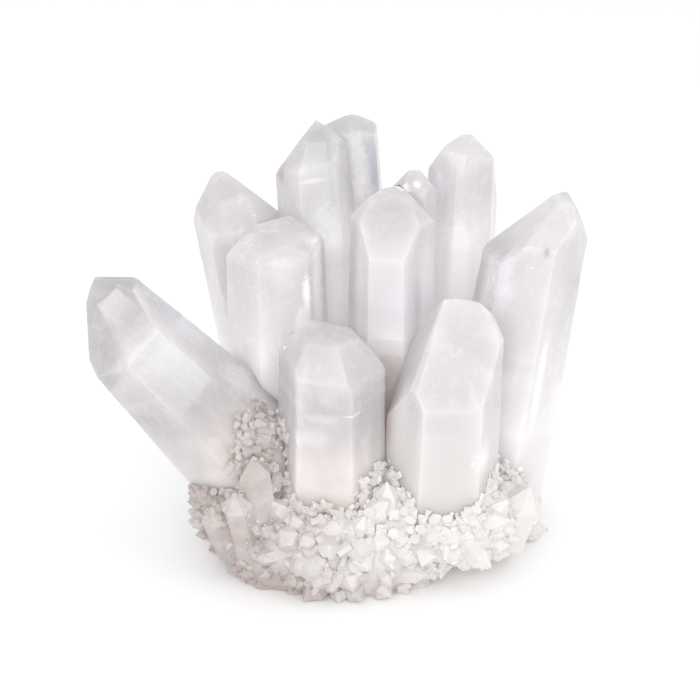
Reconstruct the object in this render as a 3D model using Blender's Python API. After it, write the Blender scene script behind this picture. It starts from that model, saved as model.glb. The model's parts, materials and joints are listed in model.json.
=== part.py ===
"""A quartz crystal cluster: clear six-sided points grown out of one crusted base.

Metres, +Z up, -Y is the front. The origin is the middle of the flat underside that
the cluster rests on. Each large point is a node, points that grew into each other are
one node, and the small points of the crust are fused to the base they grow from.
"""

import math
import random
from dataclasses import dataclass

import bmesh
import bpy
from mathutils import Matrix, Vector, noise

MM = 0.001
GAP = 0.3 * MM  # clearance all round where a point sits in the base or meets another point
ON_THE_CUT = 1e-7  # a corner nearer to a cutting plane than this lies on it

# Quartz: six prism faces round the long axis, closed by six end faces that lean over them.
SIDES = 6
FLAT = math.cos(math.pi / SIDES)  # distance to a face, as a share of the distance to a corner
END_TILT = math.radians(51.8)  # from the long axis to the normal of an end face
DOME_TILT = 24  # of the blunt faces that round off a tip, in degrees
NARROWING = 1.2  # how far each prism face leans in towards the tip, in degrees
FRONT = math.radians(-90)  # azimuth of the face that looks along -Y

# The base: a thick slab and the mounds on it, with rough steep sides, cut flat below.
#   middle   centre of its widest level, in millimetres
#   half     half its width and depth, and its rise above the middle
#   fall     its drop below the middle, where it draws in towards the flat underside
MOUNDS = (
    dict(middle=(-0.5, 6.5, 6.0), half=(31.5, 23.5, 11.0), fall=7.5),
    dict(middle=(-5.5, -11.5, 6.0), half=(19.0, 11.0, 10.5), fall=7.5),
    dict(middle=(14.0, -9.5, 10.0), half=(13.5, 10.5, 8.0), fall=5.5),
    dict(middle=(-21.9, -7.5, 12.0), half=(10.5, 8.0, 18.0), fall=9.0),
)
STEEPNESS = 3.4  # 2 makes an ellipsoid, more has steeper sides and a flatter top
LUMPS = 0.1  # how far the surface swells and dips, as a share of its distance from the middle
LUMP_SIZE = 8.0 * MM

# The crust: rings of small points that stand out of each mound, from its rim upwards.
#   climb   how high a ring sits, as an angle seen from the middle of the mound
#   apart   distance from one point to the next, in millimetres
#   width   of its points, in millimetres
#   reach   how far they stand out, in millimetres
#   lean    how far they lean up from straight out
CRUST_RINGS = (
    dict(climb=-24, apart=4.8, width=3.8, reach=2.6, lean=-20),
    dict(climb=-8, apart=4.4, width=3.9, reach=3.0, lean=-8),
    dict(climb=6, apart=4.5, width=4.4, reach=3.2, lean=8),
    dict(climb=22, apart=4.3, width=4.1, reach=3.2, lean=28),
    dict(climb=40, apart=4.4, width=3.9, reach=3.4, lean=50),
    dict(climb=60, apart=4.8, width=3.9, reach=3.4, lean=65),
)
CRUST_SEED = 5
SIZE_SPREAD = (0.65, 1.3)  # smallest and largest point of a ring, against its stated size
SPACING_SPREAD = 0.4  # how far a point strays along its ring, as a share of the spacing
CLIMB_SPREAD = 6.0  # how far it strays up or down, in degrees
LEAN_SPREAD = 20.0  # how far its lean differs, in degrees
SWING_SPREAD = 23.0  # how far it swings sideways, in degrees

ROCK_SIZE = 150.0 * MM

# Colour and roughness of each material.
QUARTZES = {
    "clear_quartz": ((0.93, 0.91, 0.925, 1.0), 0.08),
    "milky_quartz": ((0.88, 0.85, 0.84, 1.0), 0.45),
}
REFRACTION = 1.544


@dataclass
class Point:
    """One crystal, in millimetres and degrees. Its faces are listed front, front right,
    back right, back, back left, front left."""

    root: tuple  # where the long axis starts in the base
    tip: tuple  # where the end faces meet
    width: float  # across the corners of the prism
    turn: float = 0.0  # how far the front face is turned to the right
    off: tuple = (0.0, 0.0)  # how far the tip stands right of and behind the long axis
    sides: tuple = (1.0,) * SIDES  # distance of each prism face, 1 is the regular one
    narrowing: float = NARROWING
    lifts: tuple = (0.0,) * SIDES  # each end face raised above the tip, so that it is smaller
    chips: tuple = ()  # flats: azimuth, tilt from the axis, depth below the corner
    dome: float = 0.0  # depth of the blunt faces that round off the tip


POINTS = {
    "point_front_centre": Point(
        root=(-7.5, -8.5, 9.0),
        tip=(-8.5, -16.0, 54.5),
        width=20.0,
        turn=-8,
        off=(-1.5, 0.0),
        lifts=(0.0, 1.0, 2.0, 0.0, 1.0, 0.5),
        chips=((0, 16, 4.0), (-90, 16, 1.0)),
    ),
    "point_front_right": Point(
        root=(13.0, -8.5, 9.0),
        tip=(16.0, -14.0, 56.5),
        width=21.0,
        turn=6,
        off=(2.0, 2.0),
        lifts=(-4.0, 2.0, 3.0, 1.0, 2.5, 0.0),
        chips=((180, 66, 3.5), (60, 20, 0.6)),
    ),
    "point_far_left": Point(
        root=(-20.4, -4.6, 20.0),
        tip=(-50.0, -12.0, 58.0),
        width=21.4,
        turn=31,
        off=(1.6, 2.0),
        sides=(1.0, 0.88, 1.0, 1.0, 1.0, 1.0),
        narrowing=4.7,
        lifts=(0.0, 1.5, 2.0, 2.0, 3.0, 1.5),
    ),
    "point_mid_left": Point(
        root=(-17.0, 7.0, 9.0),
        tip=(-17.5, 3.0, 70.5),
        width=19.5,
        turn=12,
        off=(0.5, 0.0),
        lifts=(0.0, 1.5, 0.0, 1.0, 0.0, 1.0),
        dome=2.0,
    ),
    "point_back_left": Point(
        root=(-15.3, 18.0, 9.0),
        tip=(-30.8, 22.0, 70.6),
        width=19.3,
        turn=-8,
        off=(-3.2, 0.0),
        lifts=(-1.5, 3.4, 2.4, 1.0, 0.0, 2.0),
    ),
    "point_centre": Point(
        root=(4.0, 3.0, 9.0),
        tip=(4.0, 3.0, 74.5),
        width=16.4,
        turn=-8,
        off=(0.0, 1.0),
        sides=(1.2, 1.0, 1.0, 1.0, 1.0, 1.0),
        lifts=(-2.0, 1.0, 0.0, 1.0, 0.0, 1.0),
        dome=0.8,
    ),
    "twin_points_back": Point(
        root=(-6.5, 17.0, 9.0),
        tip=(-10.3, 19.0, 81.4),
        width=15.6,
        turn=10,
        off=(1.5, 0.0),
        lifts=(0.0, 2.0, 0.0, 1.0, 0.0, 1.0),
    ),
    "point_back_right": Point(
        root=(16.0, 17.0, 9.0),
        tip=(19.0, 22.0, 85.5),
        width=15.4,
        turn=16,
        lifts=(0.0, 0.5, 0.0, 1.0, 0.0, 0.5),
        chips=((0, 68, 0.8), (180, 68, 0.8), (0, 44, 1.5), (180, 44, 2.0)),
        dome=2.6,
    ),
    "point_far_right": Point(
        root=(23.3, 3.5, 9.0),
        tip=(36.8, 3.5, 73.5),
        width=19.6,
        turn=-14,
        off=(4.0, 0.0),
        lifts=(0.0, 0.0, 1.0, 1.0, -0.6, -0.7),
        chips=((0, 62, 1.4),),
        dome=0.8,
    ),
}

# Points that grew into a large one, and are one solid with it.
PARTNERS = {
    "twin_points_back": Point(
        root=(1.0, 23.0, 9.0),
        tip=(-4.4, 27.5, 85.2),
        width=13.2,
        turn=24,
        lifts=(0.0, 0.5, 0.0, 0.5, 0.0, 0.5),
        chips=((0, 50, 0.8),),
        dome=1.8,
    ),
    "point_centre": Point(
        root=(7.0, 7.5, 30.0),
        tip=(8.4, 9.0, 75.0),
        width=9.0,
        lifts=(0.0, 0.5, 0.0, 0.5, 0.0, 0.5),
    ),
}

# Where two large points meet, the second gives way to the first.
MEETINGS = (
    ("point_front_centre", "point_far_left"),
    ("point_front_centre", "point_mid_left"),
    ("point_front_centre", "point_front_right"),
    ("point_front_centre", "point_centre"),
    ("point_front_right", "point_far_right"),
    ("point_front_right", "point_centre"),
    ("point_mid_left", "point_far_left"),
    ("point_mid_left", "point_back_left"),
    ("point_mid_left", "twin_points_back"),
    ("point_mid_left", "point_centre"),
    ("point_centre", "twin_points_back"),
    ("point_centre", "point_far_right"),
    ("point_centre", "point_back_right"),
    ("point_back_left", "twin_points_back"),
    ("point_back_left", "point_far_left"),
    ("point_far_right", "point_back_right"),
    ("twin_points_back", "point_back_right"),
)

# Middling points of the crust, between and behind the large ones.
STUBS = (
    Point(root=(-26.0, -12.0, 5.0), tip=(-29.5, -17.5, 17.0), width=6.0, turn=10),
    Point(root=(-22.5, -14.0, 5.0), tip=(-25.0, -20.0, 21.0), width=6.5, turn=-5),
    Point(root=(-20.0, -13.5, 6.0), tip=(-21.5, -18.5, 27.5), width=6.8, turn=35),
    Point(root=(3.0, -14.0, 6.0), tip=(3.0, -17.5, 22.0), width=5.5, turn=5),
    Point(root=(26.0, -9.0, 6.0), tip=(30.0, -13.0, 19.0), width=8.0, turn=15),
    Point(root=(-26.0, 10.0, 6.0), tip=(-33.0, 11.5, 28.0), width=9.0, turn=20),
    Point(root=(27.0, 15.0, 6.0), tip=(34.5, 19.0, 28.0), width=9.0, turn=0),
    Point(root=(-24.0, 20.0, 6.0), tip=(-31.5, 27.0, 23.0), width=8.5, turn=25),
    Point(root=(-9.0, 25.0, 6.0), tip=(-12.5, 34.0, 32.0), width=9.5, turn=30),
    Point(root=(4.0, 29.0, 6.0), tip=(2.5, 36.0, 20.0), width=7.5, turn=48),
    Point(root=(11.0, 26.0, 6.0), tip=(13.0, 35.0, 27.0), width=9.0, turn=12),
    Point(root=(23.0, 23.0, 6.0), tip=(29.0, 30.5, 20.0), width=8.0, turn=40),
)


def heading(azimuth, tilt):
    """The unit vector that leans `tilt` away from +Z towards `azimuth`."""
    level = math.sin(tilt)
    return Vector((level * math.cos(azimuth), level * math.sin(azimuth), math.cos(tilt)))


def cut_off(bm, normal, reach):
    """Cuts away what lies further than `reach` along `normal`, and closes the cut."""
    cut = bmesh.ops.bisect_plane(
        bm,
        geom=bm.verts[:] + bm.edges[:] + bm.faces[:],
        dist=ON_THE_CUT,
        plane_co=normal * reach,
        plane_no=normal,
        clear_outer=True,
    )
    rim = [item for item in cut["geom_cut"] if isinstance(item, bmesh.types.BMEdge)]
    if rim:
        bmesh.ops.contextual_create(bm, geom=rim)


def crystal(point, swell=0.0):
    """A convex six-sided point as a bmesh in the part's own frame, in metres.

    `swell` moves every face outwards, for the hollow that the point sits in.
    """
    root, tip = Vector(point.root) * MM, Vector(point.tip) * MM
    off_right, off_back = (distance * MM for distance in point.off)
    along = (tip - Vector((off_right, off_back, 0)) - root).normalized()
    right = (Vector((1, 0, 0)) - along * along.x).normalized()
    turned = Matrix((right, along.cross(right), along)).transposed()
    length = (turned.inverted() @ (tip - root)).z
    flat = point.width * MM / 2 * FLAT

    bm = bmesh.new()
    bmesh.ops.create_cone(
        bm,
        cap_ends=True,
        segments=SIDES,
        radius1=point.width * MM,
        radius2=point.width * MM,
        depth=2 * length + 2 * swell,
        matrix=Matrix.Translation((0, 0, length)),
    )
    for k, (side, lift) in enumerate(zip(point.sides, point.lifts)):
        azimuth = FRONT + math.radians(point.turn + k * 360 / SIDES)
        prism = heading(azimuth, math.radians(90 - point.narrowing))
        middle = Vector((0, 0, length / 2)) + heading(azimuth, math.pi / 2) * flat * side
        cut_off(bm, prism, prism.dot(middle) + swell)
        end = heading(azimuth, END_TILT)
        summit = Vector((off_right, off_back, length + lift * MM))
        cut_off(bm, end, end.dot(summit) + swell)
    flats = list(point.chips)
    if point.dome:  # a blunt face over each edge between two end faces
        flats += [(point.turn + k * 360 / SIDES, DOME_TILT, point.dome) for k in range(SIDES)]
    for azimuth, tilt, depth in flats:
        chip = heading(math.radians(azimuth), math.radians(tilt))
        reach = max(vert.co.dot(chip) for vert in bm.verts)
        cut_off(bm, chip, reach - depth * MM)
    bmesh.ops.transform(bm, matrix=Matrix.Translation(root) @ turned.to_4x4(), verts=bm.verts)
    return bm


def reach_of(mound, direction):
    """How far a mound's surface lies from its middle in one direction, in metres."""
    width, depth, rise = mound["half"]
    height = rise if direction.z > 0 else mound["fall"]
    across, along, up = direction.x / width, direction.y / depth, direction.z / height
    smooth = MM * (math.hypot(across, along) ** STEEPNESS + abs(up) ** STEEPNESS) ** (-1 / STEEPNESS)
    return smooth * (1 + LUMPS * noise.noise(direction * smooth / LUMP_SIZE))


def in_the_open(spot, width):
    """Whether a small point at `spot` stands clear of the large ones, in millimetres."""
    for point in (*POINTS.values(), *PARTNERS.values()):
        root, tip = Vector(point.root), Vector(point.tip)
        along = (tip - root).normalized()
        rise = (spot - root).dot(along)
        aside = (spot - root - along * rise).length
        if rise > -width and aside < point.width / 2 * FLAT + width / 4:
            return False
    return True


def crust_points():
    """The small points, ring by ring, each pointing out of the base where it stands."""
    rng = random.Random(CRUST_SEED)

    def stray(spread):
        return rng.uniform(-spread, spread)

    for mound in MOUNDS:
        middle = Vector(mound["middle"])
        around = 2 * math.pi * math.hypot(*mound["half"][:2]) / math.sqrt(2)
        for ring in CRUST_RINGS:
            count = round(around * math.cos(math.radians(ring["climb"])) / ring["apart"])
            for k in range(count):
                azimuth = math.radians((k + stray(SPACING_SPREAD)) * 360 / count)
                climb = math.radians(ring["climb"] + stray(CLIMB_SPREAD))
                out = heading(azimuth, math.pi / 2 - climb)
                spot = middle + out * reach_of(mound, out) / MM
                lean = math.radians(ring["lean"] + stray(LEAN_SPREAD))
                swing = math.radians(stray(SWING_SPREAD))
                axis = heading(azimuth + swing, math.pi / 2 - lean)
                size = rng.uniform(*SIZE_SPREAD)
                width = ring["width"] * size
                root = spot - axis * width
                tip = spot + axis * ring["reach"] * size
                turn = rng.uniform(0, 360 / SIDES)
                if in_the_open(spot, width) and in_the_open(tip, width):
                    yield Point(root=tuple(root), tip=tuple(tip), width=width, turn=turn)


def material(name):
    """One of the two quartzes."""
    colour, roughness = QUARTZES[name]
    quartz = bpy.data.materials.new(name)
    quartz.use_nodes = True
    quartz.diffuse_color = colour
    shader = quartz.node_tree.nodes["Principled BSDF"]
    shader.inputs["Base Color"].default_value = colour
    shader.inputs["Roughness"].default_value = roughness
    shader.inputs["Metallic"].default_value = 0.0
    shader.inputs["IOR"].default_value = REFRACTION
    return quartz


def add_object(name, meshes, collection):
    """One object holding one or more bmeshes, which it uses up."""
    mesh = bpy.data.meshes.new(name)
    joined = bmesh.new()
    for bm in meshes:
        bmesh.ops.recalc_face_normals(bm, faces=bm.faces)
        bm.to_mesh(mesh)
        bm.free()
        joined.from_mesh(mesh)
    joined.to_mesh(mesh)
    joined.free()
    added = bpy.data.objects.new(name, mesh)
    collection.objects.link(added)
    return added


def add_cutter(name, meshes, collection):
    """A solid that only shapes others: never part of the cluster itself."""
    cutter = add_object(name, meshes, collection)
    cutter.hide_render = True
    cutter.display_type = "WIRE"
    return cutter


def combine(target, operation, cutter, itself=False):
    """Joins a solid to the target or cuts it away."""
    boolean = target.modifiers.new(cutter.name, "BOOLEAN")
    boolean.operation = operation
    boolean.object = cutter
    boolean.use_self = itself


def members(name):
    """The crystals that make up one large node."""
    return [POINTS[name]] + ([PARTNERS[name]] if name in PARTNERS else [])


def mound_solid(mound):
    """One rough mound of the base."""
    bm = bmesh.new()
    bmesh.ops.create_icosphere(bm, subdivisions=4, radius=1.0)
    for vert in bm.verts:
        direction = vert.co.normalized()
        vert.co = Vector(mound["middle"]) * MM + direction * reach_of(mound, direction)
    return bm


def rock_below():
    """What the cluster broke off from: a block whose top is the level of the break."""
    bm = bmesh.new()
    bmesh.ops.create_cube(bm, size=ROCK_SIZE, matrix=Matrix.Translation((0, 0, -ROCK_SIZE / 2)))
    return bm


def build():
    for old in list(bpy.data.objects):
        bpy.data.objects.remove(old, do_unlink=True)
    cluster = bpy.data.collections.new("quartz_cluster")
    cutters = bpy.data.collections.new("cutters")
    for collection in (cluster, cutters):
        bpy.context.scene.collection.children.link(collection)
    clear = material("clear_quartz")
    milky = material("milky_quartz")

    slab, *mounds = [mound_solid(mound) for mound in MOUNDS]
    base = add_object("crust_base", [slab], cluster)
    base.data.materials.append(milky)
    growth = mounds + [crystal(point) for point in (*crust_points(), *STUBS)]
    combine(base, "UNION", add_cutter("crust_growth", growth, cutters), itself=True)
    combine(base, "DIFFERENCE", add_cutter("rock_below", [rock_below()], cutters))

    hollows = {}
    for name in POINTS:
        solid, *partners = members(name)
        large = add_object(name, [crystal(solid)], cluster)
        large.data.materials.append(clear)
        for partner in partners:
            joined = add_cutter(name + "_partner", [crystal(partner)], cutters)
            combine(large, "UNION", joined)
        hollows[name] = [
            add_cutter(f"{name}_hollow_{k}", [crystal(member, GAP)], cutters)
            for k, member in enumerate(members(name))
        ]
        for hollow in hollows[name]:
            combine(base, "DIFFERENCE", hollow)
    for keeper, yielding in MEETINGS:
        for hollow in hollows[keeper]:
            combine(bpy.data.objects[yielding], "DIFFERENCE", hollow)


build()
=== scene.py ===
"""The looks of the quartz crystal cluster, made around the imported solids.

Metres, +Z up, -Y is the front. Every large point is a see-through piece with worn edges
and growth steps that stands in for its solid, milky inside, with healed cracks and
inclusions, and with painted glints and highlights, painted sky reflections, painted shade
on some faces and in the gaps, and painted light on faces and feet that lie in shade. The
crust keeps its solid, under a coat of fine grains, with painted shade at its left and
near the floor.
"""

import json
import math
import random
from contextlib import contextmanager

import bpy
import numpy as np
from mathutils import Matrix, Vector, noise
from mathutils.bvhtree import BVHTree

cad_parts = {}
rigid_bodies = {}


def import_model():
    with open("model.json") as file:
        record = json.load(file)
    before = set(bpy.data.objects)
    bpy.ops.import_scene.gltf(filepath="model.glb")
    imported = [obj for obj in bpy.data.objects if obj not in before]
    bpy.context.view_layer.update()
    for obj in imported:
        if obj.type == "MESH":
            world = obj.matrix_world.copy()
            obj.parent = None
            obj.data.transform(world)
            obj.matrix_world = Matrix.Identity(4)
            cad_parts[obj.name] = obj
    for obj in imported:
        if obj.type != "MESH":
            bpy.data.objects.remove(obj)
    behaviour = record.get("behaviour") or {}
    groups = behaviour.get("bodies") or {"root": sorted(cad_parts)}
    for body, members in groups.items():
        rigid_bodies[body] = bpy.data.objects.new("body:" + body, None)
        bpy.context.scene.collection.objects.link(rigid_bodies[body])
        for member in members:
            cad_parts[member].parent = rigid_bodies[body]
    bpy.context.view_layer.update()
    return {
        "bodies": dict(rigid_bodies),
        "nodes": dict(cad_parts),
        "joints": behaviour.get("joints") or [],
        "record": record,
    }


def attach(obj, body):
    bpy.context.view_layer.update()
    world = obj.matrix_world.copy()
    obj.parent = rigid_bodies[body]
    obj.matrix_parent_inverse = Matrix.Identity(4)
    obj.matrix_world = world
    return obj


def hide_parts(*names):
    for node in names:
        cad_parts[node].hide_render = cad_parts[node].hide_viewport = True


MM = 0.001
BODY = "root"
SEED = 7

# Quartz
REFRACTION = 1.544
GLASS = (0.99, 0.985, 0.99, 1.0)
VEIL = (0.95, 0.93, 0.945, 1.0)
ROOT_START = 15.0  # millimetres up, where the look of a point's root starts to fade
ROOT_MILK = 0.45  # how much more of the root is milk
MILK_GLOW = 10.0  # millimetres that light goes inside the milk
MILK_GLOSS = 0.3
PALER = 1.03  # how much paler the clouds in the milk are
RAGGED = 2.2  # how ragged the outline of a mark is, in its own sizes
FRAYED = 3.0  # the same for a mark under a millimetre wide
MARK_MILK = 0.5  # how much more of a mark is milk

# Crust
PALE_SUGAR = (0.72, 0.70, 0.685, 1.0)
DULL_SUGAR = (0.66, 0.635, 0.62, 1.0)
MOTTLED_SUGAR = (0.63, 0.59, 0.57, 1.0)
# painted shade: the warm dark brown that the crust takes at its left and near the floor
PAINTED_SHADE_BROWN = (0.355, 0.298, 0.282, 1.0)
CRUST_GLOSS = 0.4
GRAIN_GLOSS = 0.15

CARD = (0.93, 0.93, 0.93, 1.0)

# Camera: a long lens, a little above the cluster
CAMERA_TARGET = Vector((-3.8, 0.0, 41.4)) * MM
CAMERA_DISTANCE = 314 * MM
CAMERA_RISE = math.radians(20)
CAMERA_LENS = 85
CAMERA_NEAR = 10 * MM

# Light: a bright room and soft boxes, each with its bearing and rise in degrees, its
# size in metres and its power in watts
ROOM = 1.0
LIGHT_TARGET = Vector((0, 0, 35)) * MM
LIGHT_DISTANCE = 0.9
LIGHTS = {
    "key": (50, 48, 0.45, 0.7),
    "fill": (-5, 24, 0.7, 4.0),
    "rim": (-150, 40, 0.35, 0.3),
}
VIEW_GAMMA = 1.25


@contextmanager
def editing(thing, select="SELECT"):
    """Edit mode on one object, with everything or nothing of it selected."""
    pick(thing)
    bpy.ops.object.mode_set(mode="EDIT")
    bpy.ops.mesh.select_all(action=select)
    yield
    bpy.ops.object.mode_set(mode="OBJECT")


def pick(thing):
    """Makes one object the selected and active one."""
    bpy.ops.object.select_all(action="DESELECT")
    thing.select_set(True)
    bpy.context.view_layer.objects.active = thing


def surface_of(mesh):
    """A mesh's faces, to be searched for the nearest spot."""
    corners = [vertex.co for vertex in mesh.vertices]
    return BVHTree.FromPolygons(corners, [tuple(face.vertices) for face in mesh.polygons])


def apply_place(thing):
    """Moves an object's place into its mesh."""
    thing.data.transform(thing.matrix_world)
    thing.matrix_world = Matrix.Identity(4)


# ---------------------------------------------------------------- materials


class Signal:
    """A number that varies over a surface. Sums and products of it add Math nodes."""

    def __init__(self, finish, socket):
        self.finish = finish
        self.socket = socket

    def maths(self, operation, *terms):
        node = self.finish.add("ShaderNodeMath", {"operation": operation}, dict(enumerate(terms)))
        return Signal(self.finish, node.outputs[0])

    def __add__(self, other):
        return self.maths("ADD", self, other)

    def __radd__(self, other):
        return self.maths("ADD", other, self)

    def __sub__(self, other):
        return self.maths("SUBTRACT", self, other)

    def __rsub__(self, other):
        return self.maths("SUBTRACT", other, self)

    def __mul__(self, other):
        return self.maths("MULTIPLY", self, other)

    def __rmul__(self, other):
        return self.maths("MULTIPLY", other, self)

    def clipped(self):
        return self.maths("MINIMUM", self.maths("MAXIMUM", self, 0.0), 1.0)

    def ramp(self, low, high):
        """0 below `low`, 1 above `high`, and a soft rise between."""
        settings = {"interpolation_type": "SMOOTHSTEP"}
        values = {"Value": self, "From Min": low, "From Max": high}
        node = self.finish.add("ShaderNodeMapRange", settings, values)
        return Signal(self.finish, node.outputs[0])


class Finish:
    """One material and the nodes in it."""

    def __init__(self, name):
        self.material = bpy.data.materials.new(name)
        self.material.use_nodes = True
        self.tree = self.material.node_tree
        self.tree.nodes.clear()

    def add(self, kind, settings=None, inputs=None):
        """Any node: its settings first, then the values or links of its sockets."""
        node = self.tree.nodes.new(kind)
        for name, value in (settings or {}).items():
            setattr(node, name, value)
        for name, value in (inputs or {}).items():
            socket = node.inputs[name]
            if isinstance(value, Signal):
                self.tree.links.new(value.socket, socket)
            else:
                socket.default_value = value
        return node

    def place(self):
        """The point on the surface, in the frame of the whole part, in millimetres."""
        here = self.add("ShaderNodeTexCoord")
        scaled = self.add(
            "ShaderNodeVectorMath",
            {"operation": "SCALE"},
            {"Vector": Signal(self, here.outputs["Object"]), "Scale": 1 / MM},
        )
        return Signal(self, scaled.outputs[0])

    def grown(self):
        """The point in its own crystal's frame: across, across and along, in millimetres."""
        node = self.add("ShaderNodeAttribute", {"attribute_name": "grown"})
        return Signal(self, node.outputs["Vector"])

    def stretched(self, where, factors):
        node = self.add("ShaderNodeVectorMath", {"operation": "MULTIPLY"}, {0: where, 1: factors})
        return Signal(self, node.outputs[0])

    def part(self, where, axis):
        node = self.add("ShaderNodeSeparateXYZ", None, {0: where})
        return Signal(self, node.outputs[axis])

    def distance(self, where, centre, sizes):
        """How far off a centre, counted in sizes along the three axes."""
        off = self.add("ShaderNodeVectorMath", {"operation": "SUBTRACT"}, {0: where, 1: centre})
        counted = self.stretched(Signal(self, off.outputs[0]), tuple(1 / size for size in sizes))
        node = self.add("ShaderNodeVectorMath", {"operation": "LENGTH"}, {0: counted})
        return Signal(self, node.outputs["Value"])

    def noise(self, where, scale, detail=3.0, roughness=0.5, distortion=0.0):
        values = {
            "Vector": where,
            "Scale": scale,
            "Detail": detail,
            "Roughness": roughness,
            "Distortion": distortion,
        }
        node = self.add("ShaderNodeTexNoise", None, values)
        return Signal(self, node.outputs["Fac"])

    def cells(self, where, scale):
        node = self.add("ShaderNodeTexVoronoi", None, {"Vector": where, "Scale": scale})
        return Signal(self, node.outputs["Distance"])

    def colour(self, factor, first, second):
        """A colour between two, by a signal."""
        node = self.add("ShaderNodeMix", {"data_type": "RGBA"}, {0: factor})
        for index, value in ((6, first), (7, second)):
            if isinstance(value, Signal):
                self.tree.links.new(value.socket, node.inputs[index])
            else:
                node.inputs[index].default_value = value
        return Signal(self, node.outputs[2])

    def bump(self, height, distance, strength):
        values = {"Height": height, "Distance": distance, "Strength": strength}
        node = self.add("ShaderNodeBump", None, values)
        return Signal(self, node.outputs["Normal"])

    def shader(self, **values):
        named = {name.replace("_", " "): value for name, value in values.items()}
        node = self.add("ShaderNodeBsdfPrincipled", None, named)
        return Signal(self, node.outputs[0])

    def mixed(self, factor, first, second):
        node = self.add("ShaderNodeMixShader", None, {0: factor, 1: first, 2: second})
        return Signal(self, node.outputs[0])

    def finished(self, surface, absorbs=None):
        values = {"Surface": surface}
        if absorbs:
            colour, density = absorbs
            inside = {"Color": colour, "Density": density}
            volume = self.add("ShaderNodeVolumeAbsorption", None, inside)
            values["Volume"] = Signal(self, volume.outputs[0])
        self.add("ShaderNodeOutputMaterial", None, values)
        return self.material


def clear_quartz(name, axes, marks, milk, body, foot, reach, frost, tint, density):
    """See-through quartz with milk in it, all milk where it grew out of the crust.

    axes is the crystal's own frame, in which its marks are long. milk is the milky share,
    body and foot its colour near the tip and near the root, reach how high the root's look
    goes, frost how rough the faces are, and tint and density the colour that its thickness
    gives. The pale foot is partly a real milky root and partly painted light, where shade
    falls between the points. The marks are partly real cracks and inclusions and partly
    painted glints, highlights, reflections, shade and light.
    """
    finish = Finish(name)
    place, grown = finish.place(), finish.grown()
    height = finish.part(place, 2)
    # The root: more milk and the foot colour, partly a real milky root and partly painted light
    # where shade falls between the points
    root = 1 - height.ramp(ROOT_START, reach)
    cloud = finish.noise(place, 0.08, 4.0, 0.5, 0.8).ramp(0.30, 0.70)
    streaks = finish.noise(finish.stretched(grown, (0.5, 0.5, 0.05)), 1.0, 3.0).ramp(0.45, 0.8)
    drawn = finish.stretched(grown, (0.22, 0.22, 0.13))
    wisps = finish.noise(drawn, 1.0, 6.0, 0.62, 1.6).ramp(0.52, 0.72)
    milky = milk + ROOT_MILK * root + 0.12 * (cloud - 0.5) + 0.07 * streaks + 0.12 * wisps

    paler = tuple(min(1.0, PALER * channel) for channel in body)
    milk_colour = finish.colour(cloud, (*body, 1.0), (*paler, 1.0))
    milk_colour = finish.colour(root, milk_colour, (*foot, 1.0))
    broad, fine = finish.noise(place, 0.9, 6.0, 0.7), finish.noise(place, 5.0, 3.0, 0.6)
    # Each mark paints its colour into the milk: real cracks and inclusions, and also painted
    # glints, highlights, sky reflections, shade and light
    for colour, strength, width, length, centre in marks:
        middle = tuple(axes @ np.array(centre))
        off = finish.distance(grown, middle, (width, width, length))
        if width > 1:
            tattered = RAGGED / max(1, width / 2) * (broad - 0.5)
        else:
            tattered = FRAYED * (fine - 0.5)
        mark = strength * (1 - (off + tattered).ramp(0.3, 1.5))
        milk_colour = finish.colour(mark, milk_colour, (*colour, 1.0))
        milky = milky + MARK_MILK * mark

    lines = finish.stretched(grown, (0.15, 0.15, 2.2))
    growth = finish.noise(lines, 1.0, 4.0, 0.6)
    frosting = finish.noise(place, 0.35, 4.0, 0.6).ramp(0.42, 0.66)
    relief = finish.bump(growth, 0.04 * MM, 0.5)
    roughness = (frost * (0.6 + 0.5 * frosting + 0.3 * cloud)).clipped()

    glass = finish.shader(
        Base_Color=GLASS,
        Roughness=roughness,
        IOR=REFRACTION,
        Transmission_Weight=1.0,
        Normal=relief,
    )
    cloudy = finish.shader(
        Base_Color=milk_colour,
        Roughness=MILK_GLOSS,
        IOR=REFRACTION,
        Subsurface_Weight=1.0,
        Subsurface_Radius=(1.0, 0.93, 0.97),
        Subsurface_Scale=MILK_GLOW * MM,
        Normal=relief,
    )
    return finish.finished(finish.mixed(milky.clipped(), glass, cloudy), ((*tint, 1.0), density))


def veil_quartz():
    """The thin milky sheets inside the points, where they cracked and healed."""
    finish = Finish("veil_quartz")
    place = finish.place()
    wisps = finish.noise(place, 0.42, 6.0, 0.65, 1.5).ramp(0.46, 0.68)
    flecks = finish.cells(place, 1.4).ramp(0.55, 0.15)
    veil = finish.shader(
        Base_Color=VEIL,
        Roughness=0.6,
        Alpha=(0.75 * wisps * (0.35 + 0.65 * flecks)).clipped(),
    )
    return finish.finished(veil)


def painted_shade_left_and_low(finish, place):
    """Painted shade on the crust: darkest at the left, then near the floor, and in patches."""
    left = 1 - finish.part(place, 0).ramp(-34.0, 8.0)
    leftish = 1 - finish.part(place, 0).ramp(-5.0, 26.0)
    low = leftish * (1 - finish.part(place, 2).ramp(1.5, 9.0))
    patches = finish.noise(place, 0.13, 4.0, 0.55).ramp(0.34, 0.66)
    return ((0.5 * low + 0.95 * left) * (0.7 + 0.5 * patches)).clipped()


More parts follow.
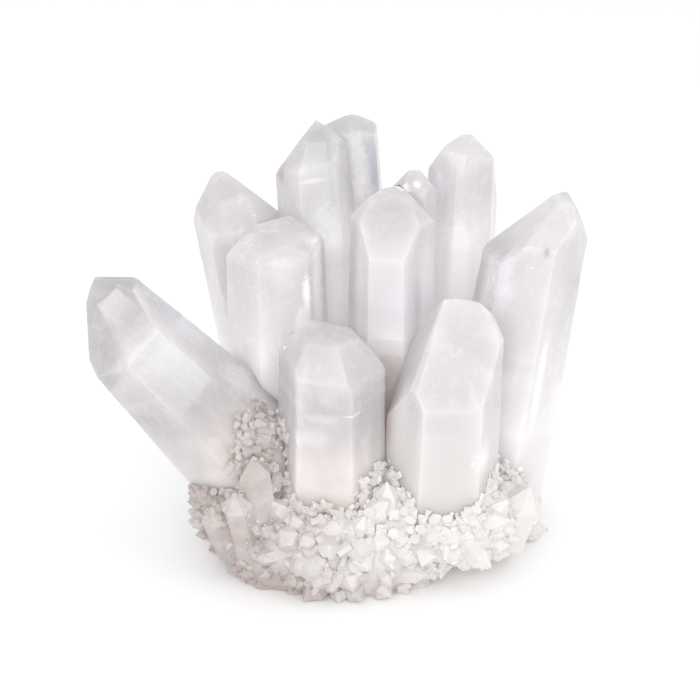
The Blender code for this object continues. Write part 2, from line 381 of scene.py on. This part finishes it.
def crust_finish(name, roughness):
    """Sugary quartz with painted warm shade low down and on the left."""
    finish = Finish(name)
    place = finish.place()
    own = finish.add("ShaderNodeAttribute", {"attribute_name": "shade"})
    unshaded_sugar = finish.colour(Signal(finish, own.outputs["Fac"]), DULL_SUGAR, PALE_SUGAR)
    mottled = finish.noise(place, 0.28, 4.0, 0.6).ramp(0.3, 0.7)
    unshaded_sugar = finish.colour(0.4 * mottled, unshaded_sugar, MOTTLED_SUGAR)
    # painted shade: the crust and its grains darken to warm brown at the left and near the floor
    colour = finish.colour(painted_shade_left_and_low(finish, place), unshaded_sugar, PAINTED_SHADE_BROWN)
    relief = finish.bump(finish.noise(place, 0.9, 4.0, 0.6), 0.1 * MM, 0.4)
    sugar = finish.shader(Base_Color=colour, Roughness=roughness, IOR=REFRACTION, Normal=relief)
    return finish.finished(sugar)


def floor_finish():
    """Plain pale card."""
    finish = Finish("pale_floor")
    tooth = finish.noise(finish.place(), 0.9, 3.0)
    relief = finish.bump(tooth, 0.02 * MM, 0.2)
    return finish.finished(finish.shader(Base_Color=CARD, Roughness=0.8, Normal=relief))


# ---------------------------------------------------------------- the large points

# How each one looks: see clear_quartz. Blunt and wear are how far the edges of its tip
# and all its edges are rounded, in millimetres, and veils counts the milky sheets inside.
# The pale feet and high reach of point_mid_left, twin_points_back, point_centre and
# point_back_right are partly painted light, where shade falls between the points.
LILAC = (0.76, 0.72, 0.77)
ROSY = (0.78, 0.73, 0.745)
LOOKS = {
    "point_far_left": dict(
        blunt=0.5, wear=0.4, milk=0.42, frost=0.12, reach=42, veils=3,
        body=(0.62, 0.60, 0.615), foot=(0.67, 0.63, 0.62),
        tint=LILAC, density=8,
    ),
    "point_back_left": dict(
        blunt=0.7, wear=0.5, milk=0.60, frost=0.20, reach=74, veils=2,
        body=(0.61, 0.58, 0.59), foot=(0.78, 0.745, 0.755),
        tint=ROSY, density=5,
    ),
    "point_mid_left": dict(
        blunt=2.4, wear=0.8, milk=0.62, frost=0.22, reach=76, veils=4,
        body=(0.62, 0.59, 0.60), foot=(0.90, 0.875, 0.885),
        tint=LILAC, density=2,
    ),
    "twin_points_back": dict(
        blunt=0.9, wear=0.5, milk=0.58, frost=0.10, reach=104, veils=5,
        body=(0.42, 0.405, 0.415), foot=(1.0, 0.985, 0.995),
        tint=LILAC, density=2,
    ),
    "point_centre": dict(
        blunt=1.6, wear=0.9, milk=0.86, frost=0.28, reach=90, veils=3,
        body=(0.40, 0.375, 0.39), foot=(0.86, 0.835, 0.855),
        tint=LILAC, density=2,
    ),
    "point_back_right": dict(
        blunt=1.6, wear=0.7, milk=0.60, frost=0.22, reach=96, veils=3,
        body=(0.58, 0.55, 0.565), foot=(1.0, 0.975, 0.995),
        tint=LILAC, density=2,
    ),
    "point_far_right": dict(
        blunt=1.4, wear=0.6, milk=0.62, frost=0.16, reach=66, veils=3,
        body=(0.62, 0.595, 0.61), foot=(0.73, 0.705, 0.715),
        tint=LILAC, density=4,
    ),
    "point_front_centre": dict(
        blunt=0.8, wear=0.6, milk=0.62, frost=0.20, reach=40, veils=5,
        body=(0.62, 0.585, 0.60), foot=(0.66, 0.605, 0.585),
        tint=ROSY, density=5,
    ),
    "point_front_right": dict(
        blunt=1.6, wear=0.9, milk=0.90, frost=0.35, reach=42, veils=2,
        body=(0.56, 0.53, 0.54), foot=(0.59, 0.555, 0.54),
        tint=ROSY, density=3,
    ),
}

# Marks in the milk, each a colour, a strength, a width and a length along the crystal in
# millimetres, and a centre on its surface: real fractures and inclusions, and also painted
# glints and highlights, painted sky reflections, painted shade on darker faces and in the
# gaps between points, and painted light on faces that lie in shade
WHITE = (1.0, 0.99, 1.0)
DUSK = (0.34, 0.31, 0.33)
# painted shade: the dark blue of a narrow face turned from the light
PAINTED_SHADE_BLUE = (0.33, 0.36, 0.41)
# painted sky reflection: a pale bluish cast painted on some faces
PAINTED_SKY_REFLECTION = (0.72, 0.72, 0.79)
PLUM = (0.50, 0.44, 0.51)
BROWN = (0.54, 0.42, 0.38)
# painted glint: a small bright spot painted into the milk where a highlight falls
PAINTED_GLINT = 0.16  # the width of a small bright spot, in millimetres
MARKS = {
    "point_far_left": [
        # painted shade: the terminal face that looks to the left is darkened
        (DUSK, 0.7, 2.2, 7.0, (-46, -17, 50)),
        (DUSK, 0.5, 1.2, 9.0, (-39, -19.5, 41.5)),
        (PAINTED_SKY_REFLECTION, 0.6, 5.0, 14.0, (-33, -6, 49)),
        # painted light: the shaded right shoulder is made paler
        (WHITE, 0.5, 5.0, 9.0, (-20, -9.5, 37)),
        (WHITE, 0.15, 3.5, 7.0, (-34, -18, 45)),
        # painted shade in the nook between this point and the front centre point
        (BROWN, 0.7, 8.0, 11.0, (-21, -15, 26)),
    ],
    "point_back_left": [
        (WHITE, 0.9, PAINTED_GLINT, PAINTED_GLINT, (-22.4, 14.7, 63.7)),
        (BROWN, 0.2, 4.0, 2.0, (-20, 15.5, 64.5)),
    ],
    "point_mid_left": [
        # painted highlight: a bright slanted streak on the face
        (WHITE, 0.8, 0.7, 3.0, (-11.8, -3, 53.8)),
        (WHITE, 0.3, 1.6, 3.5, (-12.5, -3.2, 47.5)),
        (WHITE, 0.9, PAINTED_GLINT, PAINTED_GLINT, (-19.8, 1.9, 64.1)),
        (WHITE, 0.9, PAINTED_GLINT, PAINTED_GLINT, (-15.9, 2.9, 64.6)),
        (WHITE, 0.9, PAINTED_GLINT, PAINTED_GLINT, (-20.8, -4.9, 60.2)),
        (WHITE, 0.9, PAINTED_GLINT, PAINTED_GLINT, (-24.5, -0.6, 55.1)),
        (PAINTED_SKY_REFLECTION, 0.25, 3.0, 3.0, (-16, -4.5, 58)),
        # painted light: the shaded right face is made paler
        (WHITE, 0.5, 2.6, 10.0, (-9.6, 1.5, 54)),
    ],
    "twin_points_back": [
        (DUSK, 1.0, 2.0, 3.2, (-17.2, 16.4, 72.5)),
        (WHITE, 0.2, 2.6, 0.5, (-10.8, 12.4, 71.2)),
        (DUSK, 0.4, 2.2, 0.9, (-12.4, 11.9, 67.6)),
        (WHITE, 0.1, 1.8, 4.0, (-10.0, 12.2, 63.5)),
        # painted light: the low part seen between two front points, in their shade, is made paler
        (WHITE, 0.95, 7.0, 20.0, (-5.0, 15.0, 43)),
        (WHITE, 0.3, 2.2, 9.0, (-1.8, 21.0, 72)),
        # painted shade on a narrow face at the right
        (PAINTED_SHADE_BLUE, 0.9, 1.5, 7.0, (1.2, 22.9, 71.8)),
    ],
    "point_centre": [
        (WHITE, 0.9, PAINTED_GLINT, PAINTED_GLINT, (2.6, -5.8, 57)),
        (PAINTED_SKY_REFLECTION, 0.35, 3.0, 3.5, (4.2, -6.0, 52)),
        # painted light: the groove between the point and its knob is made paler
        (WHITE, 0.8, 1.3, 1.3, (5.9, 5, 71.8)),
        (WHITE, 0.3, 3.0, 10.0, (10.0, 0, 53)),
        # painted light: the shaded left face is made paler
        (WHITE, 0.35, 2.2, 10.0, (-2.6, -1.5, 54)),
        (PLUM, 0.45, 1.0, 5.5, (8.7, -2.9, 52.5)),
        # painted highlight on the knob near the tip
        (WHITE, 0.7, 0.6, 1.2, (8.7, 6.3, 71.8)),
        # painted shade in the gap between the two front points, on this point's face behind it
        (BROWN, 0.55, 2.6, 7.0, (3.7, -6.1, 36)),
    ],
    "point_back_right": [
        (PLUM, 0.3, 1.0, 8.0, (15.1, 13.8, 56)),
        (PLUM, 0.3, 0.9, 7.0, (20.0, 14.0, 55)),
        (PAINTED_SKY_REFLECTION, 0.3, 1.6, 6.0, (17.5, 12.6, 60)),
        # painted light: the shaded low part behind the front points is made paler
        (WHITE, 0.5, 9.0, 22.0, (18.5, 15.0, 42)),
        (PAINTED_SKY_REFLECTION, 0.3, 1.6, 3.0, (13.4, 16.5, 70)),
    ],
    "point_far_right": [
        (DUSK, 1.0, 0.7, 1.2, (32.2, -5.1, 62.3)),
        (PLUM, 0.4, 0.6, 0.6, (28.5, -4.5, 62.5)),
        (WHITE, 0.9, PAINTED_GLINT, PAINTED_GLINT, (29.5, -4.6, 59.1)),
        (PAINTED_SKY_REFLECTION, 0.4, 2.2, 7.0, (24.5, -3.0, 55)),
        (WHITE, 0.3, 0.9, 9.0, (31.7, -4.3, 36)),
        (WHITE, 0.9, PAINTED_GLINT, PAINTED_GLINT, (32.4, -2.8, 29.8)),
        (PLUM, 0.25, 1.2, 16.0, (34.2, -1.2, 48)),
        # painted light: the left face, in the shade of its neighbours, is made paler
        (WHITE, 0.5, 3.0, 10.0, (20.3, 0, 54)),
    ],
    "point_front_centre": [
        (WHITE, 0.7, 2 * PAINTED_GLINT, 2 * PAINTED_GLINT, (-15.5, -14.6, 47.1)),
        (WHITE, 0.15, 2.0, 5.0, (-12.4, -21.4, 41.5)),
        (PLUM, 0.2, 2.6, 3.0, (-7.4, -21.8, 41)),
        (WHITE, 0.16, 3.4, 0.9, (-8.5, -21.6, 36)),
        (WHITE, 0.4, 2.2, 0.3, (-3.4, -21, 37)),
        (WHITE, 0.13, 3.4, 1.6, (-10.8, -21, 32)),
        (BROWN, 0.3, 4.0, 4.0, (-5.5, -20.4, 26)),
        (BROWN, 0.5, 9.0, 3.0, (-8, -19, 17.5)),
        # painted highlight along the left edge
        (WHITE, 0.4, 0.5, 14.0, (-14.9, -18.8, 27)),
        (WHITE, 0.9, PAINTED_GLINT, PAINTED_GLINT, (1.0, -14.8, 24.7)),
    ],
    "point_front_right": [
        (WHITE, 0.9, PAINTED_GLINT, PAINTED_GLINT, (17.9, -19.9, 24.8)),
        (WHITE, 0.9, PAINTED_GLINT, PAINTED_GLINT, (7.4, -11.5, 42.9)),
        # painted light: the shaded left face by the gap is made paler
        (WHITE, 0.3, 3.0, 9.0, (7, -15, 33)),
        # painted shade in the gap by the front centre point
        (BROWN, 0.8, 2.2, 8.0, (3.6, -12.6, 33)),
        # painted highlight: a bright spot low on the front
        (WHITE, 0.4, 2.6, 3.0, (20.0, -17.6, 27)),
    ],
}

GROWN_TOGETHER = 0.14 * MM  # each point swells by this, up to its neighbours
TIP = 10 * MM  # how far down from its top a point's edges are rounded
# Corners broken off near the tips: a spot on the break, in millimetres, and its way out
BREAKS = {
    "point_back_right": [
        ((13.1, 16, 75.6), (-0.80, 0.20, 0.56)),
        ((15.8, 16, 78.6), (-0.56, 0.28, 0.78)),
        ((22.7, 16, 77.1), (0.78, 0.21, 0.59)),
        ((24.3, 16, 73.2), (0.98, 0.07, 0.18)),
    ],
    "point_far_right": [((37.8, 0, 70.1), (0.92, 0.13, 0.37))],
    "point_far_left": [((-50.4, -13.2, 58.2), (-0.93, 0.12, 0.34))],
    "point_back_left": [((-33.6, 16, 66.5), (-0.91, 0.14, 0.40))],
    "point_centre": [((8.6, 6, 75.2), (0, 0.34, 0.94))],
}
LEDGE_RISE = 0.12 * MM  # length along the axis over which a growth step changes width
LEDGE_DEPTH = 0.009  # deepest growth step, as a share of the distance to the axis
LEDGES = 8
WEAR_STEPS = 3  # faces across a rounded edge
FLAT_FACES = math.radians(0.5)  # faces that meet at less than this are one
WORN_EDGE = math.radians(10)  # edges sharper than this are worn
SHARP_EDGE = math.radians(17)  # edges sharper than this stay sharp in the shading
LONG_EDGE = 0.55  # share of the longest edge's length that counts as along the axis

# Milky sheets
VEIL_SIZE = (9 * MM, 16 * MM)
VEIL_LEAN = (0.3, 1.2)
VEIL_LEVEL = (0.35, 0.85)  # where along the point they sit
VEIL_BEND = 1.6 * MM
VEIL_GRID = 26
VEIL_GAP = 0.5 * MM  # how far they stay inside


def growth_axis(mesh):
    """The long axis of a point: the mean of its longest edges, pointing up."""
    corners = [vertex.co for vertex in mesh.vertices]
    edges = [corners[b] - corners[a] for a, b in (edge.vertices for edge in mesh.edges)]
    longest = max(edge.length for edge in edges)
    along = Vector()
    for edge in edges:
        if edge.length > LONG_EDGE * longest:
            along += edge * math.copysign(1, edge.z)
    return along.normalized()


def break_corner(point, spot, out):
    """Cuts off all that lies beyond a plane, and closes the cut."""
    spot, out = Vector(spot) * MM, Vector(out).normalized()
    with editing(point):
        bpy.ops.mesh.bisect(plane_co=spot, plane_no=out, use_fill=True, clear_outer=True)


def round_tip(point, along, blunt):
    """Rounds the edges round the tip."""
    top = max(vertex.co.dot(along) for vertex in point.data.vertices)
    for edge in point.data.edges:
        ends = [point.data.vertices[index].co.dot(along) for index in edge.vertices]
        edge.select = max(ends) > top - TIP and min(ends) > top - 1.8 * TIP
    pick(point)
    bpy.ops.object.mode_set(mode="EDIT")
    bpy.ops.mesh.select_mode(type="EDGE")
    bpy.ops.mesh.bevel(
        offset=blunt * MM, offset_type="OFFSET", segments=WEAR_STEPS, clamp_overlap=True
    )
    bpy.ops.mesh.select_mode(type="VERT")
    bpy.ops.object.mode_set(mode="OBJECT")


def grow_steps(point, along, rng):
    """Cuts rings round the point and gives each length between two of them its own width."""
    reach = [vertex.co.dot(along) for vertex in point.data.vertices]
    low, high = min(reach), max(reach)
    steps = sorted(rng.uniform(low + 8 * MM, high - 1 * MM) for _ in range(LEDGES))
    with editing(point):
        for step in steps:
            for level in (step, step + LEDGE_RISE):
                bpy.ops.mesh.select_all(action="SELECT")
                bpy.ops.mesh.bisect(plane_co=along * level, plane_no=along)
    centre = sum((Vector(corner) for corner in point.bound_box), Vector()) / 8
    widths = [1 - rng.uniform(0, LEDGE_DEPTH) for _ in range(LEDGES + 1)]
    for vertex in point.data.vertices:
        level = vertex.co.dot(along)
        section = sum(level > step + LEDGE_RISE / 2 for step in steps)
        foot = centre + along * (level - centre.dot(along))
        vertex.co = foot + (vertex.co - foot) * widths[section]


def keep_growth_frame(point, along):
    """Writes each corner's place in the crystal's own frame, for the materials to read."""
    across = along.orthogonal().normalized()
    frame = np.array((across, along.cross(across), along))
    count = len(point.data.vertices)
    corners = np.empty(count * 3)
    point.data.vertices.foreach_get("co", corners)
    grown = corners.reshape(count, 3) @ frame.T / MM
    attribute = point.data.attributes.new("grown", "FLOAT_VECTOR", "POINT")
    attribute.data.foreach_set("vector", grown.ravel())
    return frame


def large_point(node, name, blunt, wear, rng):
    """A copy of a solid point, with its broken corners, worn edges and growth steps."""
    point = bpy.data.objects.new("quartz_" + name, node.data.copy())
    bpy.context.scene.collection.objects.link(point)
    point.data.materials.clear()
    with editing(point):
        bpy.ops.mesh.remove_doubles(threshold=0.002 * MM)
        bpy.ops.mesh.dissolve_limited(angle_limit=FLAT_FACES)
        bpy.ops.mesh.normals_make_consistent()
        bpy.ops.transform.shrink_fatten(value=GROWN_TOGETHER, use_even_offset=True)
    along = growth_axis(point.data)
    for spot, out in BREAKS.get(name, []):
        break_corner(point, spot, out)
    round_tip(point, along, blunt)
    worn = point.modifiers.new("worn edges", "BEVEL")
    worn.width = wear * MM
    worn.segments = WEAR_STEPS
    worn.limit_method = "ANGLE"
    worn.angle_limit = WORN_EDGE
    bpy.ops.object.modifier_apply(modifier=worn.name)
    grow_steps(point, along, rng)
    axes = keep_growth_frame(point, along)
    pick(point)
    bpy.ops.object.shade_smooth_by_angle(angle=SHARP_EDGE)
    return point, axes


def veil(size, rng):
    """One curved sheet, about the origin, as a new object."""
    bpy.ops.object.select_all(action="DESELECT")
    bpy.ops.mesh.primitive_grid_add(x_subdivisions=VEIL_GRID, y_subdivisions=VEIL_GRID, size=size)
    sheet = bpy.context.object
    drift = Vector((rng.uniform(0, 50), rng.uniform(0, 50), rng.uniform(0, 50)))
    for vertex in sheet.data.vertices:
        vertex.co.z += VEIL_BEND * noise.noise(vertex.co / (6 * MM) + drift)
        vertex.co.z += VEIL_BEND * 0.3 * noise.noise(vertex.co / (2 * MM) + drift)
    return sheet


def veils(name, point, along, count, rng):
    """The milky sheets inside one point, trimmed to stay inside it."""
    tree = surface_of(point.data)
    reach = [vertex.co.dot(along) for vertex in point.data.vertices]
    low, high = min(reach), max(reach)
    centre = sum((Vector(corner) for corner in point.bound_box), Vector()) / 8
    sheets = []
    for _ in range(count):
        sheet = veil(rng.uniform(*VEIL_SIZE), rng)
        level = low + (high - low) * rng.uniform(*VEIL_LEVEL)
        lean = rng.uniform(*VEIL_LEAN)
        turn = Matrix.Rotation(rng.uniform(0, 2 * math.pi), 4, along)
        tilt = along.to_track_quat("Z", "Y").to_matrix().to_4x4() @ Matrix.Rotation(lean, 4, "X")
        spot = centre + along * (level - centre.dot(along))
        sheet.matrix_world = Matrix.Translation(spot) @ turn @ tilt
        apply_place(sheet)
        with editing(sheet, "DESELECT"):
            pass
        for vertex in sheet.data.vertices:
            skin, normal, _, depth = tree.find_nearest(vertex.co)
            vertex.select = (vertex.co - skin).dot(normal) > 0 or depth < VEIL_GAP
        pick(sheet)
        bpy.ops.object.mode_set(mode="EDIT")
        bpy.ops.mesh.delete(type="VERT")
        bpy.ops.object.mode_set(mode="OBJECT")
        if sheet.data.polygons:
            sheets.append(sheet)
        else:
            bpy.data.objects.remove(sheet)
    pick(sheets[0])
    for sheet in sheets:
        sheet.select_set(True)
    bpy.ops.object.join()
    joined = bpy.context.object
    joined.name = "veils_" + name
    pick(joined)
    bpy.ops.object.shade_smooth()
    return joined


def build_large_points(frame):
    """Every large point and its veils, riding on the body; the point stands for its node."""
    inside = veil_quartz()
    for number, (name, look) in enumerate(LOOKS.items()):
        finish = dict(look)
        rng = random.Random(SEED + number)
        count = finish.pop("veils")
        blunt, wear = finish.pop("blunt"), finish.pop("wear")
        point, axes = large_point(frame["nodes"][name], name, blunt, wear, rng)
        quartz = clear_quartz("quartz_of_" + name, axes, MARKS[name], **finish)
        point.data.materials.append(quartz)
        sheets = veils(name, point, Vector(axes[2]), count, rng)
        sheets.data.materials.append(inside)
        for piece in (point, sheets):
            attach(piece, BODY)
        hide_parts(name)


# ---------------------------------------------------------------- the crust

CRUST_GRAINS = 16000  # spots tried over the crust, of which some are in sockets
CLIMBING_GRAINS = 60000  # spots tried over the large points, of which few are near the crust
SOCKET_GAP = 0.35 * MM  # wider than the gap round a large point in its socket
FOOT_CLIMB = 2.6 * MM  # how far grains climb a large point out of the crust
NOOK_CLIMB = 4.0 * MM  # how near to another point they sit in the nooks
UNDERSIDE = -0.3  # grains don't climb a face that looks down more than this
HOLLOW = 4.0 * MM  # a gap across the crust that counts as a hollow
COLLAR = 1.4 * MM  # how far from a large point the crust's grains are larger
NOOK_TOP = (12 * MM, 27 * MM)  # grains in nooks thin out between these heights
GRAIN_WIDTH = (0.5 * MM, 1.6 * MM)
GRAIN_LENGTH = (1.4, 2.8)  # in widths
SUNK = 0.6  # share of a small grain's length that is in what it grows on
HOLLOW_SUNK = 0.35  # the same in a hollow
CLIMB_SUNK = 0.3  # the same on a large point
UPSIDE_DOWN = -0.7  # no grains on a crust face that looks down more than this
LEAN = 0.35  # how far grains lean at random
LOWEST_GRAIN = 0.5 * MM
# Thick patches of grains on the large points: a centre in millimetres and a reach
PATCHES = [((-21, -13, 29), 7.5 * MM), ((2.6, -14, 21), 4.5 * MM)]
PATCH_TOP = 37 * MM  # above the highest spot in them


def grain():
    """One small six-sided point, 1 wide and 1 long, rooted at the origin."""
    bpy.ops.object.select_all(action="DESELECT")
    bpy.ops.mesh.primitive_cylinder_add(vertices=6, radius=0.5, depth=0.55, location=(0, 0, 0.275))
    model = bpy.context.object
    apply_place(model)
    for face in model.data.polygons:
        face.select = face.normal.z > 0.9
    pick(model)
    bpy.ops.object.mode_set(mode="EDIT")
    bpy.ops.mesh.select_mode(type="FACE")
    bpy.ops.mesh.extrude_region_move(TRANSFORM_OT_translate={"value": (0, 0, 0.45)})
    bpy.ops.mesh.merge(type="CENTER")
    bpy.ops.mesh.select_mode(type="VERT")
    bpy.ops.object.mode_set(mode="OBJECT")
    return model


def scatter(solid, count, rng):
    """Spots spread evenly over a solid, each with the way that its surface faces."""
    mesh = solid.data
    mesh.calc_loop_triangles()
    corners = [vertex.co for vertex in mesh.vertices]
    triangles = list(mesh.loop_triangles)
    areas = np.cumsum([triangle.area for triangle in triangles])
    for _ in range(count):
        triangle = triangles[int(np.searchsorted(areas, rng.random() * areas[-1]))]
        a, b, c = (corners[index] for index in triangle.vertices)
        u, v = rng.random(), rng.random()
        if u + v > 1:
            u, v = 1 - u, 1 - v
        yield a + (b - a) * u + (c - a) * v, triangle.normal.copy()


def gap_to(surfaces, spot):
    """The distance from a spot to the nearest of several surfaces."""
    return min(surface.find_nearest(spot)[3] for surface in surfaces)


def grain_place(spot, facing, rng, size, sunk, upright):
    """Where one grain stands: out of the surface at a spot, leaning at random."""
    least, most = GRAIN_WIDTH
    width = (least + (most - least) * rng.random() ** 2.0) * size
    length = width * rng.uniform(*GRAIN_LENGTH)
    wander = Vector((rng.gauss(0, 1), rng.gauss(0, 1), rng.gauss(0, 1))) * LEAN
    axis = (facing + wander + Vector((0, 0, upright))).normalized()
    turned = axis.to_track_quat("Z", "Y").to_matrix().to_4x4()
    spun = Matrix.Rotation(rng.uniform(0, math.pi), 4, "Z")
    sized = Matrix.Diagonal((width, width, length, 1))
    return Matrix.Translation(spot - axis * length * sunk) @ turned @ spun @ sized


def lowest(place):
    """A low bound on where a placed grain reaches."""
    across, root = place.to_scale().x / 2, place.translation.z
    return root - across


def grains_on_crust(base, crust, points, rng):
    """Grains all over the solid crust, larger in its hollows and round the large points."""
    for spot, facing in scatter(base, CRUST_GRAINS, rng):
        to_points = gap_to(points, spot)
        if spot.z < LOWEST_GRAIN or facing.z < UPSIDE_DOWN or to_points < SOCKET_GAP:
            continue
        across = crust.ray_cast(spot + facing * 0.05 * MM, facing, HOLLOW)[3] or HOLLOW
        hollow = 1 - min(across / HOLLOW, to_points / COLLAR)
        if hollow > 0:
            yield grain_place(spot, facing, rng, 1 + 0.7 * hollow, HOLLOW_SUNK, 0.5)
        elif rng.random() < 0.5:
            yield grain_place(spot, facing, rng, 0.8, SUNK, 0.3)


def grains_on_points(nodes, crust, points, rng):
    """Grains that climb the large points' feet and fill the nooks between them."""
    low, high = NOOK_TOP
    for own, node in enumerate(nodes):
        others = points[:own] + points[own + 1:]
        for spot, facing in scatter(node, CLIMBING_GRAINS // len(nodes), rng):
            if not LOWEST_GRAIN < spot.z < PATCH_TOP or facing.z < UNDERSIDE:
                continue
            to_crust, to_others = gap_to([crust], spot), gap_to(others, spot)
            ragged = 1 + 0.9 * noise.noise(spot / (6 * MM))
            foot = 1.4 - to_crust / (FOOT_CLIMB * ragged)
            thinning = min(1, max(0, (high - spot.z) / (high - low)))
            nook = (1 - to_others / (NOOK_CLIMB * ragged)) * thinning
            patch = max(
                1 - (spot - Vector(centre) * MM).length / reach for centre, reach in PATCHES
            )
            chance = max(foot, nook, 1.6 * patch)
            if min(to_crust, to_others) > SOCKET_GAP and rng.random() < chance:
                size = 0.7 + 0.8 * min(1, chance)
                yield grain_place(spot, facing * 0.6, rng, size, CLIMB_SUNK, 1.0)


def joined_copies(model, places, name, rng):
    """Copies of a model at many places, as one mesh, each with its own shade."""
    corners = np.array([vertex.co for vertex in model.data.vertices])
    faces = [tuple(face.vertices) for face in model.data.polygons]
    points, polygons, shades = [], [], []
    for number, place in enumerate(places):
        matrix = np.array(place)
        points.append(corners @ matrix[:3, :3].T + matrix[:3, 3])
        start = number * len(corners)
        polygons.extend(tuple(index + start for index in face) for face in faces)
        shades.extend([rng.random()] * len(corners))
    mesh = bpy.data.meshes.new(name)
    mesh.from_pydata(np.concatenate(points).tolist(), [], polygons)
    mesh.attributes.new("shade", "FLOAT", "POINT").data.foreach_set("value", shades)
    bpy.data.objects.remove(model)
    copies = bpy.data.objects.new(name, mesh)
    bpy.context.scene.collection.objects.link(copies)
    return copies


def build_crust(frame):
    """The solid crust with its finish, and the fine grains over it and round the points."""
    base = frame["nodes"]["crust_base"]
    base.data.materials.clear()
    base.data.materials.append(crust_finish("milky_quartz", CRUST_GLOSS))
    nodes = [frame["nodes"][name] for name in LOOKS]
    crust, points = surface_of(base.data), [surface_of(node.data) for node in nodes]
    rng = random.Random(SEED)
    places = [
        *grains_on_crust(base, crust, points, rng),
        *grains_on_points(nodes, crust, points, rng),
    ]
    places = [place for place in places if lowest(place) > 0]
    grains = joined_copies(grain(), places, "crust_grains", rng)
    grains.data.materials.append(crust_finish("grain_quartz", GRAIN_GLOSS))
    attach(grains, BODY)


# ---------------------------------------------------------------- floor, light and camera


def build_stage():
    """A plain pale floor."""
    bpy.ops.object.select_all(action="DESELECT")
    bpy.ops.mesh.primitive_plane_add(size=6.0, location=(0, 0, -0.05 * MM))
    floor = bpy.context.object
    floor.name = "floor"
    apply_place(floor)
    floor.data.materials.append(floor_finish())


def add_softbox(name, bearing, rise, size, power):
    """A square soft light that looks at the cluster."""
    light = bpy.data.lights.new(name, "AREA")
    light.size = size
    light.energy = power
    holder = bpy.data.objects.new(name, light)
    bpy.context.scene.collection.objects.link(holder)
    bearing, rise = math.radians(bearing), math.radians(rise)
    right, front = math.sin(bearing), math.cos(bearing)
    away = Vector((right * math.cos(rise), -front * math.cos(rise), math.sin(rise)))
    holder.location = LIGHT_TARGET + away * LIGHT_DISTANCE
    holder.rotation_euler = away.to_track_quat("Z", "Y").to_euler()


def let_light_through():
    """Light may cross and rebound inside many points before it is lost."""
    paths = bpy.context.scene.cycles
    paths.max_bounces = 32
    paths.glossy_bounces = 16
    paths.transmission_bounces = 24
    paths.diffuse_bounces = 12


def build_light():
    """A bright pale room and soft boxes: from the right, from the front and from behind."""
    world = bpy.data.worlds.new("studio")
    bpy.context.scene.world = world
    world.use_nodes = True
    sky = world.node_tree.nodes["Background"]
    sky.inputs["Color"].default_value = (1.0, 1.0, 1.0, 1.0)
    sky.inputs["Strength"].default_value = ROOM
    for name, values in LIGHTS.items():
        add_softbox(name, *values)
    bpy.context.scene.view_settings.view_transform = "Standard"
    bpy.context.scene.view_settings.gamma = VIEW_GAMMA


def build_camera():
    """The view: from the front, a little above, with a long lens."""
    camera = bpy.data.cameras.new("camera")
    camera.lens = CAMERA_LENS
    camera.clip_start = CAMERA_NEAR
    holder = bpy.data.objects.new("camera", camera)
    bpy.context.scene.collection.objects.link(holder)
    away = Vector((0, -math.cos(CAMERA_RISE), math.sin(CAMERA_RISE)))
    holder.location = CAMERA_TARGET + away * CAMERA_DISTANCE
    holder.rotation_euler = away.to_track_quat("Z", "Y").to_euler()
    bpy.context.scene.camera = holder


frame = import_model()
build_camera()
build_large_points(frame)
build_crust(frame)
build_stage()
build_light()
let_light_through()
